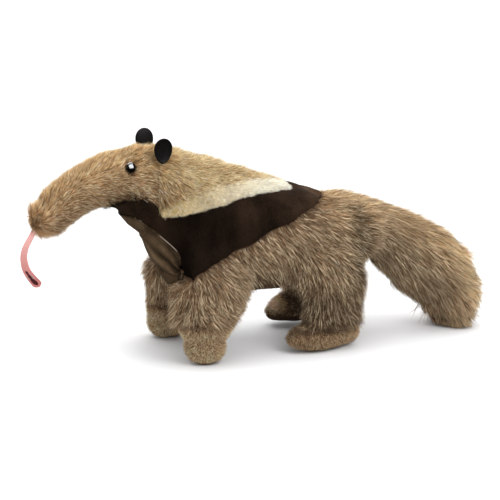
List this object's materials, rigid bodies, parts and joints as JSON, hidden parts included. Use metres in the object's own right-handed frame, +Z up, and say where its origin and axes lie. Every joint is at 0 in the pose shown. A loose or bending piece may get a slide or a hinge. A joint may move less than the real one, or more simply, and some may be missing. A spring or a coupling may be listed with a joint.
{
  "type": "plush toy giant anteater",
  "caption": "Stuffed plush toy anteater standing on its feet and brush tail, with a long drooping snout, upright leaf ears, a slanting pale shoulder band and a hanging felt tongue.",
  "frame": {"origin": "on the floor under the middle of the toy's bounding box", "axes": "+X towards the tail, so the snout points to -X; +Y towards the toy's right side; +Z up"},
  "size_m": [0.5154, 0.1624, 0.233],
  "materials": {
    "beige_plush": "brushed plush with a short beige pile",
    "cream_plush": "brushed plush with a short cream pile",
    "dark_velour": "smooth short-pile velour, dark brown",
    "taupe_velour": "smooth short-pile velour, taupe",
    "brown_plush": "long-pile plush, brown with light and dark hairs",
    "ear_leather": "smooth imitation leather",
    "eye_plastic": "polished black",
    "tongue_felt": "pink felt with maroon stitching"
  },
  "bodies": {
    "root": {"snout": "beige_plush", "head": "beige_plush", "neck": "beige_plush", "band_left": "cream_plush", "band_right": "cream_plush", "yoke": "dark_velour", "chest": "taupe_velour", "trunk": "brown_plush", "hindquarters": "brown_plush", "leg_front_left": "brown_plush", "leg_front_right": "brown_plush", "leg_hind_left": "brown_plush", "leg_hind_right": "brown_plush", "foot_front_left": "brown_plush", "foot_front_right": "brown_plush", "foot_hind_left": "brown_plush", "foot_hind_right": "brown_plush", "tail_root": "brown_plush", "tail_middle": "brown_plush", "tail_end": "brown_plush", "ear_left": "ear_leather", "ear_right": "ear_leather", "eye_left": "eye_plastic", "eye_right": "eye_plastic", "tongue": "tongue_felt"}
  },
  "joints": []
}
